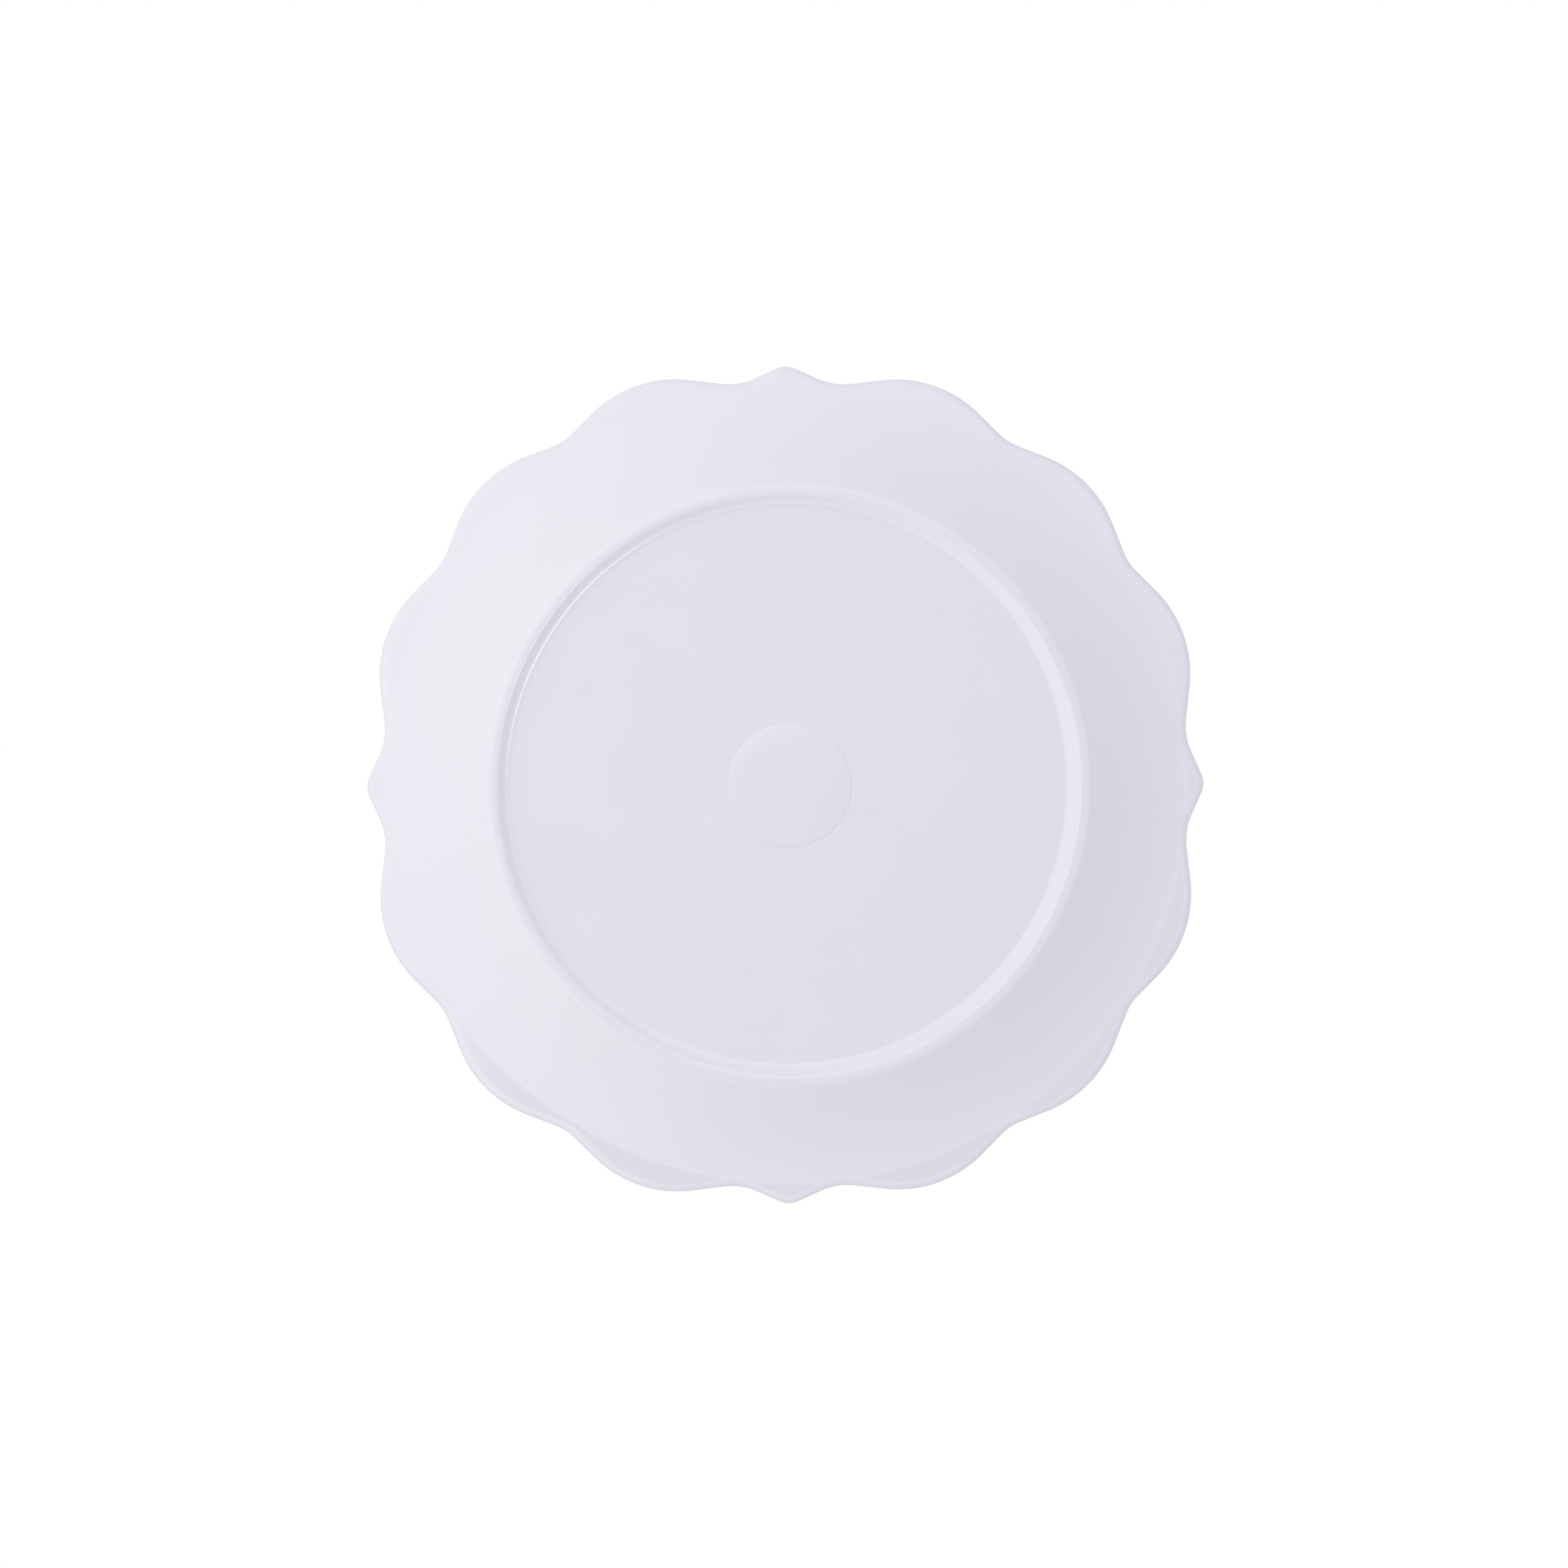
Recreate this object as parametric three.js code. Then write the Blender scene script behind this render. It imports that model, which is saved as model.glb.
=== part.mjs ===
// Scalloped melamine dinner plate: a moulded body, a foil and a clear glaze on its eating face,
// and a thin foil disc under its floor. Millimetres, +Z up, foot ring on z = 0, axis on z.
import * as THREE from 'three';
import { mergeGeometries, mergeVertices } from 'three/addons/utils/BufferGeometryUtils.js';

// Rim outline: corners of one eighth of the rim, before rounding.
// A reach is a corner's distance from the axis, and a bearing is its angle from the nearest tip.
const TIP_REACH = 135.7;
const DIP_REACH = 129.55;
const DIP_BEARING = 6.8;
const FLANK_LOBE_REACH = 141.8;
const FLANK_LOBE_BEARING = 20.5;
const NOTCH_REACH = 131.7;
const NOTCH_BEARING = 32.85;
const DIAGONAL_LOBE_REACH = 141.1;
const DIAGONAL_LOBE_BEARING = 45;
const TIP_ROUNDING = 6.9;
const DIP_ROUNDING = 20;
const LOBE_ROUNDING = 37.4;
const NOTCH_ROUNDING = 16.9;
const TIP_COUNT = 4;

// Underside: a recessed floor inside a foot ring, then a flare that eases off towards a flatter lip.
const RECESS_DEPTH = 2.4;
const FOOT_FLAT_INNER_RADIUS = 92.2;
const FOOT_FLAT_WIDTH = 2.4;
const FOOT_WALL_RUN = 3.5;
const FLARE_START_ANGLE = 33;
const FLARE_END_ANGLE = 17;
const LIP_START_RADIUS = 129.6;
const LIP_ANGLE = 9;

// Wall: floor and rim thickness, the sweep from the well to the flare, and the rounded rim edge.
const FLOOR_THICKNESS = 2.7;
const RIM_THICKNESS = 2.5;
const WELL_SWEEP_WIDTH = 15;
const EDGE_ROUNDING = 1.1;

// Face layers, from the body up, and the plain border left round them at the rim.
const FOIL_THICKNESS = 0.15;
const GLAZE_THICKNESS = 0.25;
const BOND_GAP = 0.03;
const LAYER_BORDER = 3;

// Backstamp disc.
const DISC_RADIUS = 19.7;
const DISC_THICKNESS = 0.12;

// Steps round the axis and along the curves.
const STEPS_AROUND = 120;
const SWEEP_STEPS = 3;
const FLARE_STEPS = 3;
const EDGE_STEPS = 3;
const DISC_STEPS = 72;
const ARC_STEPS = 24;
const WELD_DISTANCE = 1e-3;

const radians = THREE.MathUtils.degToRad;

const footFlatOuterRadius = FOOT_FLAT_INNER_RADIUS + FOOT_FLAT_WIDTH;
const footWallInnerRadius = FOOT_FLAT_INNER_RADIUS - FOOT_WALL_RUN;

function polar(reach, bearing) {
  const angle = radians(bearing);
  return new THREE.Vector2(reach * Math.cos(angle), reach * Math.sin(angle));
}

// Rim outline as one closed path: straight flanks with an arc at each corner.
function rimCorners() {
  const pitch = 360 / TIP_COUNT;
  const corners = [];
  for (let tip = 0; tip < TIP_COUNT; tip += 1) {
    const start = tip * pitch;
    const add = (reach, bearing, rounding) => corners.push({ at: polar(reach, start + bearing), rounding });
    add(TIP_REACH, 0, TIP_ROUNDING);
    add(DIP_REACH, DIP_BEARING, DIP_ROUNDING);
    add(FLANK_LOBE_REACH, FLANK_LOBE_BEARING, LOBE_ROUNDING);
    add(NOTCH_REACH, NOTCH_BEARING, NOTCH_ROUNDING);
    add(DIAGONAL_LOBE_REACH, DIAGONAL_LOBE_BEARING, LOBE_ROUNDING);
    add(NOTCH_REACH, pitch - NOTCH_BEARING, NOTCH_ROUNDING);
    add(FLANK_LOBE_REACH, pitch - FLANK_LOBE_BEARING, LOBE_ROUNDING);
    add(DIP_REACH, pitch - DIP_BEARING, DIP_ROUNDING);
  }
  return corners;
}

function rimOutline() {
  const corners = rimCorners();
  const path = new THREE.Path();
  corners.forEach(({ at, rounding }, index) => {
    const before = corners[(index + corners.length - 1) % corners.length].at;
    const after = corners[(index + 1) % corners.length].at;
    const toBefore = before.clone().sub(at).normalize();
    const toAfter = after.clone().sub(at).normalize();
    const halfAngle = toBefore.angleTo(toAfter) / 2;
    const flankUse = rounding / Math.tan(halfAngle);
    const start = at.clone().addScaledVector(toBefore, flankUse);
    const end = at.clone().addScaledVector(toAfter, flankUse);
    const inward = toBefore.clone().add(toAfter).normalize();
    const centre = at.clone().addScaledVector(inward, rounding / Math.sin(halfAngle));
    const turnsRight = toBefore.cross(toAfter) > 0;
    const startAngle = start.sub(centre).angle();
    const endAngle = end.sub(centre).angle();
    path.absarc(centre.x, centre.y, rounding, startAngle, endAngle, turnsRight);
  });
  path.closePath();
  return path.getPoints(ARC_STEPS);
}

// Distance from the axis to the rim outline along one bearing.
const outline = rimOutline();
function rimRadius(angle) {
  const ray = new THREE.Vector2(Math.cos(angle), Math.sin(angle));
  let reach = 0;
  outline.forEach((from, index) => {
    const to = outline[(index + 1) % outline.length];
    const side = to.clone().sub(from);
    const turn = ray.cross(side);
    const along = from.cross(ray) / turn;
    const distance = from.cross(side) / turn;
    if (turn !== 0 && along >= 0 && along <= 1 && distance > reach) reach = distance;
  });
  return reach;
}

// Underside height outside the foot ring: slope eases from the foot to the lip, then stays.
const flareStartSlope = Math.tan(radians(FLARE_START_ANGLE));
const flareEndSlope = Math.tan(radians(FLARE_END_ANGLE));
const lipSlope = Math.tan(radians(LIP_ANGLE));
const flareRun = LIP_START_RADIUS - footFlatOuterRadius;
function backHeight(radius) {
  const run = Math.min(radius, LIP_START_RADIUS) - footFlatOuterRadius;
  const easing = (flareStartSlope - flareEndSlope) / (2 * flareRun);
  const lipRun = Math.max(radius - LIP_START_RADIUS, 0);
  return flareStartSlope * run - easing * run * run + lipSlope * lipRun;
}

// Eating face: a flat well that sweeps up into the flare, which follows the underside.
const wellHeight = RECESS_DEPTH + FLOOR_THICKNESS;
const flareFaceRise = RIM_THICKNESS / Math.cos(radians((FLARE_START_ANGLE + FLARE_END_ANGLE) / 2));
const wellCornerRadius = footFlatOuterRadius + (wellHeight - flareFaceRise) / flareStartSlope;
const wellFlatRadius = wellCornerRadius - WELL_SWEEP_WIDTH / 2;
const sweepEndRadius = wellCornerRadius + WELL_SWEEP_WIDTH / 2;
function faceHeight(radius) {
  if (radius <= wellFlatRadius) return wellHeight;
  if (radius >= sweepEndRadius) return backHeight(radius) + flareFaceRise;
  const low = new THREE.Vector2(wellFlatRadius, wellHeight);
  const corner = new THREE.Vector2(wellCornerRadius, wellHeight);
  const high = new THREE.Vector2(sweepEndRadius, backHeight(sweepEndRadius) + flareFaceRise);
  const sweep = new THREE.QuadraticBezierCurve(low, corner, high);
  return sweep.getPoint((radius - wellFlatRadius) / WELL_SWEEP_WIDTH).y;
}

// Turned profiles are drawn at the tip's radius, and each turned solid is then drawn out to the outline.
const drawnRimRadius = rimRadius(0);
const layerEdgeRadius = drawnRimRadius - LAYER_BORDER;

function spread(from, to, steps) {
  return Array.from({ length: steps + 1 }, (_, step) => from + (to - from) * (step / steps));
}

// Radii where the face layers bend, from their edge in to the axis.
const inwardFaceRadii = [
  ...spread(layerEdgeRadius, sweepEndRadius, FLARE_STEPS).slice(1),
  ...spread(sweepEndRadius, wellFlatRadius, SWEEP_STEPS).slice(1),
  0,
];

function drawOut(geometry) {
  const position = geometry.getAttribute('position');
  const rimAt = new Map();
  for (let index = 0; index < position.count; index += 1) {
    const x = position.getX(index);
    const y = position.getY(index);
    const radius = Math.hypot(x, y);
    if (radius <= footFlatOuterRadius) continue;
    const angle = Math.atan2(y, x);
    const key = angle.toFixed(4);
    if (!rimAt.has(key)) rimAt.set(key, rimRadius(angle));
    const share = (radius - footFlatOuterRadius) / (drawnRimRadius - footFlatOuterRadius);
    const drawn = footFlatOuterRadius + share * (rimAt.get(key) - footFlatOuterRadius);
    const wall = faceHeight(radius) - backHeight(radius);
    const depth = (position.getZ(index) - backHeight(radius)) / wall;
    const drawnWall = faceHeight(drawn) - backHeight(drawn);
    position.setXYZ(
      index,
      (x * drawn) / radius,
      (y * drawn) / radius,
      backHeight(drawn) + depth * drawnWall,
    );
  }
  return geometry;
}

// A skin turned round the axis from a profile of radius and height pairs.
function turnedSkin(profile) {
  const points = profile.map(([radius, height]) => new THREE.Vector2(radius, height));
  const geometry = new THREE.LatheGeometry(points, STEPS_AROUND);
  geometry.rotateX(Math.PI / 2);
  geometry.deleteAttribute('uv');
  geometry.deleteAttribute('normal');
  return geometry;
}

function turnedInsideOut(geometry) {
  const corners = geometry.getIndex().array;
  for (let first = 0; first < corners.length; first += 3) {
    [corners[first], corners[first + 1]] = [corners[first + 1], corners[first]];
  }
  return geometry;
}

// Skins joined into one closed body and drawn out to the scalloped outline.
function closedBody(skins) {
  const joined = mergeVertices(mergeGeometries(skins), WELD_DISTANCE);
  const body = drawOut(joined).toNonIndexed();
  body.computeVertexNormals();
  return body;
}

// A layer of the eating face between two depths below the finished face.
// Both skins run inwards like the body's seat, so that their facets lie parallel to it.
function faceLayer(topDepth, bottomDepth) {
  const edge = layerEdgeRadius - BOND_GAP;
  const radii = [edge, ...inwardFaceRadii];
  const skin = (depth) => turnedSkin(radii.map((radius) => [radius, faceHeight(radius) - depth]));
  const wall = turnedSkin([bottomDepth, topDepth].map((depth) => [edge, faceHeight(edge) - depth]));
  return closedBody([skin(topDepth), turnedInsideOut(skin(bottomDepth)), wall]);
}

const foilTopDepth = GLAZE_THICKNESS + BOND_GAP;
const foilBottomDepth = foilTopDepth + FOIL_THICKNESS;
const seatDepth = foilBottomDepth + BOND_GAP;

function bodyProfile() {
  const edgeRadius = drawnRimRadius - EDGE_ROUNDING;
  const edgeBottom = backHeight(edgeRadius);
  const edgeTop = faceHeight(edgeRadius);
  const edgeMiddle = (edgeBottom + edgeTop) / 2;
  const underside = [
    [0, RECESS_DEPTH],
    [footWallInnerRadius, RECESS_DEPTH],
    [FOOT_FLAT_INNER_RADIUS, 0],
    ...spread(footFlatOuterRadius, layerEdgeRadius, FLARE_STEPS + 1).map((radius) => [
      radius,
      backHeight(radius),
    ]),
  ];
  const edge = spread(-90, 90, EDGE_STEPS + 1).map((bearing) => [
    edgeRadius + EDGE_ROUNDING * Math.cos(radians(bearing)),
    edgeMiddle + ((edgeTop - edgeBottom) / 2) * Math.sin(radians(bearing)),
  ]);
  const seat = [layerEdgeRadius, ...inwardFaceRadii];
  return [
    ...underside,
    ...edge,
    [layerEdgeRadius, faceHeight(layerEdgeRadius)],
    ...seat.map((radius) => [radius, faceHeight(radius) - seatDepth]),
  ];
}

function backstampDisc() {
  const geometry = new THREE.CylinderGeometry(DISC_RADIUS, DISC_RADIUS, DISC_THICKNESS, DISC_STEPS);
  geometry.rotateX(Math.PI / 2);
  return geometry;
}

const lavender = new THREE.MeshStandardMaterial({ color: 0xe2dfe9, roughness: 0.28, metalness: 0 });
const foilPaper = new THREE.MeshStandardMaterial({ color: 0xe6e3ec, roughness: 0.5, metalness: 0 });
const clearMelamine = new THREE.MeshStandardMaterial({
  color: 0xf4f2f8,
  roughness: 0.12,
  metalness: 0,
  transparent: true,
  opacity: 0.3,
});
const discFoil = new THREE.MeshStandardMaterial({ color: 0xe1dee8, roughness: 0.32, metalness: 0 });

function piece(name, geometry, material) {
  const mesh = new THREE.Mesh(geometry, material);
  mesh.name = name;
  return mesh;
}

const plate = new THREE.Group();
const disc = piece('backstamp_disc', backstampDisc(), discFoil);
disc.position.z = RECESS_DEPTH - BOND_GAP - DISC_THICKNESS / 2;
plate.add(
  piece('plate_body', closedBody([turnedSkin(bodyProfile())]), lavender),
  piece('decor_foil', faceLayer(foilTopDepth, foilBottomDepth), foilPaper),
  piece('face_glaze', faceLayer(0, GLAZE_THICKNESS), clearMelamine),
  disc,
);

export default plate;
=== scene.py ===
"""Scalloped lavender melamine plate, photographed from below on a plain pale stage."""
import math

import bpy
from mathutils import Matrix, Vector


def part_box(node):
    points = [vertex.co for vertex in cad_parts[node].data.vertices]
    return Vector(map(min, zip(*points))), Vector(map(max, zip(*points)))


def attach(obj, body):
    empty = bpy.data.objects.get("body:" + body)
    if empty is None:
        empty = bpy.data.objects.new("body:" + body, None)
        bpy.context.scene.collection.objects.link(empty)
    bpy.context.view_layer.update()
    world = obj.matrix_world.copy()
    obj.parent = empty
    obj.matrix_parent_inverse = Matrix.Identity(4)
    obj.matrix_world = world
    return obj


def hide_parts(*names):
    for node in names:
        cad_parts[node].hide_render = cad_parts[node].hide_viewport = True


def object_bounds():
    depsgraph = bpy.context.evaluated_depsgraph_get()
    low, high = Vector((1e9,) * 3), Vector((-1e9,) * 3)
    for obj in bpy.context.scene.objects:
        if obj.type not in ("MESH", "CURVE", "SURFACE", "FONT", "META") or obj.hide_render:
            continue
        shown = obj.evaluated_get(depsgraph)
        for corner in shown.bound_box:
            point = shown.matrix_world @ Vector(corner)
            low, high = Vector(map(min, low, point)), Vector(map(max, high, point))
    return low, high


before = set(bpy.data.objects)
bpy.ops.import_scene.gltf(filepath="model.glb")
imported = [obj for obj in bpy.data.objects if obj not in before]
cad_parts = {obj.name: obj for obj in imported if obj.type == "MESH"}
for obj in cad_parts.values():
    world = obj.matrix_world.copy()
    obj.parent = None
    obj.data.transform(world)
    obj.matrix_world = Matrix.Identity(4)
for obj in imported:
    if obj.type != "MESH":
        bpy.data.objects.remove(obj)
cad_low, cad_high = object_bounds()

MM = 0.001

# Rim outline: corners of one eighth of the rim, by reach from the axis and bearing from a tip, and their
# roundings.
RIM_SIZES = {
    "Tip Reach": 135.7 * MM,
    "Dip Reach": 129.55 * MM,
    "Dip Bearing": math.radians(6.8),
    "Flank Lobe Reach": 141.8 * MM,
    "Flank Lobe Bearing": math.radians(20.5),
    "Notch Reach": 131.7 * MM,
    "Notch Bearing": math.radians(32.85),
    "Diagonal Lobe Reach": 141.1 * MM,
    "Tip Rounding": 6.9 * MM,
    "Dip Rounding": 20.0 * MM,
    "Lobe Rounding": 37.4 * MM,
    "Notch Rounding": 16.9 * MM,
}

# Turned profile, in millimetres, with the sizes of the rim and the disc read from the frame.
DISC_LOW, DISC_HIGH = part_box("backstamp_disc")
DISC_RADIUS = DISC_HIGH.x / MM
DISC_BOTTOM = DISC_LOW.z / MM
DISC_TOP = DISC_HIGH.z / MM
RECESS_DEPTH = 2.4
FOOT_FLAT_INNER = 92.3
FOOT_FLAT_OUTER = 95.1
FOOT_WALL_RUN = 2.9
RECESS_FILLET = 5.0
FOOT_INNER_FILLET = 2.2
FOOT_OUTER_FILLET = 3.4
FLARE_START_SLOPE = math.tan(math.radians(33.9))
FLARE_END_SLOPE = math.tan(math.radians(17.7))
LIP_START = 128.3
LIP_SLOPE = math.tan(math.radians(9))
LIP_EASING = 2.2
WELL_HEIGHT = 5.1
RIM_THICKNESS = 2.5
MEAN_FLARE_ANGLE = math.radians(25)
WALL_RISE = RIM_THICKNESS / math.cos(MEAN_FLARE_ANGLE)
WELL_CORNER = FOOT_FLAT_OUTER + (WELL_HEIGHT - WALL_RISE) / FLARE_START_SLOPE
WELL_SWEEP = 15.0
WELL_FLAT = WELL_CORNER - WELL_SWEEP / 2
SWEEP_END = WELL_CORNER + WELL_SWEEP / 2
EDGE_ROUNDING = 1.2
LOWER_EDGE_ROUNDING = 2.8
LOWER_EDGE_SHARE = 0.64
LAYER_BORDER = 3.0
BOND_GAP = 0.03
GLAZE_THICKNESS = 0.25
FOIL_THICKNESS = 0.15
DISC_EDGE_SHARE = 0.8
DRAWN_RIM = cad_high.x / MM
LAYER_EDGE = DRAWN_RIM - LAYER_BORDER
DRAW_START = 108.0
DRAW_BAND = 4.0

# Rows of points along the profiles: radii and gaps in millimetres, and counts of steps.
FLOOR_ROWS = (0.0, 30.0, 60.0, 80.0)
WELL_ROWS = (60.0, 30.0, 0.0)
DISC_ROWS = (0.0, 10.0)
FLAT_INNER_INSET = 0.95
FLAT_OUTER_INSET = 1.25
FLARE_FILLET_REACH = 4.0
FLARE_ROWS_START = 97.0
FLARE_ROWS_END = 122.0
ROW_GAP = 0.5
EDGE_ROW_GAP = 0.4
CORNER_STEPS = 8
RECESS_FILLET_STEPS = 14
FLAT_STEPS = 2
FLARE_STEPS = 12
LIP_STEPS = 20
LOWER_EDGE_STEPS = 12
UPPER_EDGE_STEPS = 8
BORDER_STEPS = 3
FACE_FLARE_STEPS = 16
FACE_SWEEP_STEPS = 12
DISC_EDGE_STEPS = 5
STEPS_AROUND = 720
OUTLINE_ARC_STEPS = 40

# Helper shapes and tolerances of the turning, in metres.
RIBBON_HEIGHT = 0.02
RIBBON_START_RADIUS = 0.1
RAY_LENGTH = 1.0
MERGE_DISTANCE = 1e-6

# Finishes: linear colours of the resin's light and deep clouds, and refractive indices.
LAVENDER_TINTS = ((0.772, 0.752, 0.833, 1.0), (0.777, 0.742, 0.825, 1.0))
FOIL_TINTS = ((0.775, 0.752, 0.83, 1.0), (0.76, 0.738, 0.818, 1.0))
DISC_TINTS = ((0.771, 0.752, 0.833, 1.0), (0.776, 0.742, 0.825, 1.0))
SPECK_COLOUR = (0.25, 0.22, 0.24, 1.0)
GLAZE_COLOUR = (0.94, 0.92, 0.96, 1.0)
GLAZE_ALPHA = 0.16
MELAMINE_IOR = 1.68
FOIL_IOR = 1.5
GLAZE_IOR = 1.6

# Photographed view: lens, the tilt that puts the right side farther off, and the place in the frame.
IMAGE_PIXELS = 1932
LENS = 67.0
SENSOR = 36.0
PHOTO_TIP_RADIUS_PX = 515.9
PHOTO_CENTRE_PX = (970.2, 967.1)
PHOTO_CROP_PX = 15.0
PHOTO_TILT = math.radians(1.9)
PHOTO_ROLL = math.radians(0.245)
RIM_MIDDLE_HEIGHT = 18.2 * MM
CLIP_RANGE = (0.01, 100.0)

# Floor, in metres.
FLOOR_HALF_SIZE = 6.0
FLOOR_LEVEL = -0.1 * MM
FLOOR_TONES = (0.88, 0.9)
FLOOR_ROUGHNESS = 0.9

# What the glossy underside mirrors: a pale studio with a soft dark oval below. The oval's place and half
# sizes are slopes from straight down. Levels are beside white, and bands are parts of a direction's Z or,
# for the warmth, its Y.
OVAL_PLACE = (0.099, 0.212, 0.0)
OVAL_HALF_SIZES = (0.56, 0.36, 1.0)
OVAL_TURN = (0.0, 0.0, math.radians(-45))
OVAL_LEVEL = 0.087
OVAL_EDGE = (0.85, 1.06)
MIRRORED_BELOW = 0.953
MIRRORED_LOW = 1.22
MIRRORED_ABOVE = 1.0
MIRRORED_LOW_BAND = (-0.4, -0.2)
MIRRORED_HORIZON_BAND = (-0.1, 0.1)
MIRRORED_RIGHTWARD = -0.325
MIRRORED_ACROSS = -0.289
COOL_MIRRORED = (0.91, 0.97, 1.08, 1.0)
WARM_MIRRORED = (1.06, 1.06, 0.95, 1.0)
WARM_BAND = (0.0, 0.7)
WHITE = (1.0, 1.0, 1.0, 1.0)

# Even fill light: its colour, its level straight below and at the horizon, and the share left above.
FILL_COLOUR = (1.004, 0.99, 1.0556, 1.0)
FILL_BELOW = 0.738
FILL_AT_HORIZON = 0.668
FILL_ABOVE_SHARE = 0.6
FILL_HORIZON_BAND = (-0.02, 0.12)

# Lamps: places in metres, powers in watts, and the sun's strength.
SIDE_LAMP = {"place": (-0.82, -0.4, -0.53), "size": 1.0, "power": 2.785, "colour": (0.85, 1.0, 0.58)}
LOW_LAMP = {"place": (-0.15, -0.05, -1.3), "size": 0.8, "power": 4.38, "colour": (1.0, 1.0, 1.0)}
GLINT_PLACE = Vector((0.193, 0.116, -0.405))
GLINT_TARGET = Vector((-0.077, -0.0445, 0.0))
GLINT_WIDTH = 0.08
GLINT_LENGTH = 0.24
GLINT_POWER = 0.0137
GLINT_SPREAD = math.radians(44)
SUN_DIRECTION = Vector((0.5, 0.6, -1.0))
SUN_STRENGTH = 2.19
SUN_ANGLE = math.radians(50)


def add_object(name, data):
    """A new object in the scene, at the origin."""
    thing = bpy.data.objects.new(name, data)
    bpy.context.scene.collection.objects.link(thing)
    return thing


def plug(tree, value, socket):
    """Links a socket to another, or sets a plain value on it."""
    if isinstance(value, bpy.types.NodeSocket):
        tree.links.new(value, socket)
    else:
        socket.default_value = value


def add_node(tree, kind, inputs=None, **settings):
    """One node with its settings and the inputs given by name or number."""
    node = tree.nodes.new(kind)
    for name, value in settings.items():
        setattr(node, name, value)
    for name, value in (inputs or {}).items():
        plug(tree, value, node.inputs[name])
    return node


def calc(tree, operation, *values):
    """One Math node's result."""
    node = add_node(tree, "ShaderNodeMath", operation=operation)
    for socket, value in zip(node.inputs, values):
        plug(tree, value, socket)
    return node.outputs[0]


# Profile of the turned pieces, in millimetres


def flare_height(radius):
    """Height of the underside outside the foot ring, with the lip eased in."""
    nearness = max(LIP_EASING - abs(radius - LIP_START), 0.0) / LIP_EASING
    inside_lip = min(radius, LIP_START) - LIP_EASING * nearness ** 3 / 6
    run = inside_lip - FOOT_FLAT_OUTER
    easing = (FLARE_START_SLOPE - FLARE_END_SLOPE) / (2 * (LIP_START - FOOT_FLAT_OUTER))
    return FLARE_START_SLOPE * run - easing * run * run + LIP_SLOPE * (radius - inside_lip)


def face_height(radius):
    """Height of the eating face: a flat well that sweeps up into the flare."""
    if radius <= WELL_FLAT:
        return WELL_HEIGHT
    if radius >= SWEEP_END:
        return flare_height(radius) + WALL_RISE
    share = (radius - WELL_FLAT) / WELL_SWEEP
    rise = flare_height(SWEEP_END) + WALL_RISE - WELL_HEIGHT
    return WELL_HEIGHT + rise * share * share


def spread(start, end, steps):
    """Evenly spaced values from start to end, both included."""
    return [start + (end - start) * step / steps for step in range(steps + 1)]


def rounded_corner(before, corner, after, radius, steps=CORNER_STEPS):
    """Points of the arc that rounds a profile corner."""
    corner = Vector(corner)
    to_before = (Vector(before) - corner).normalized()
    to_after = (Vector(after) - corner).normalized()
    half = to_before.angle(to_after) / 2
    centre = corner + (to_before + to_after).normalized() * (radius / math.sin(half))
    first = corner + to_before * (radius / math.tan(half)) - centre
    last = corner + to_after * (radius / math.tan(half)) - centre
    turn = first.angle_signed(last)
    return [tuple(centre + Matrix.Rotation(-turn * s, 2) @ first) for s in spread(0, 1, steps)]


def face_radii():
    """Radii of the rows across the eating face, from the layers' edge in to the axis."""
    flare = spread(LAYER_EDGE - ROW_GAP, SWEEP_END, FACE_FLARE_STEPS)
    sweep = spread(SWEEP_END, WELL_FLAT, FACE_SWEEP_STEPS)[1:]
    return flare + sweep + list(WELL_ROWS)


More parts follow.
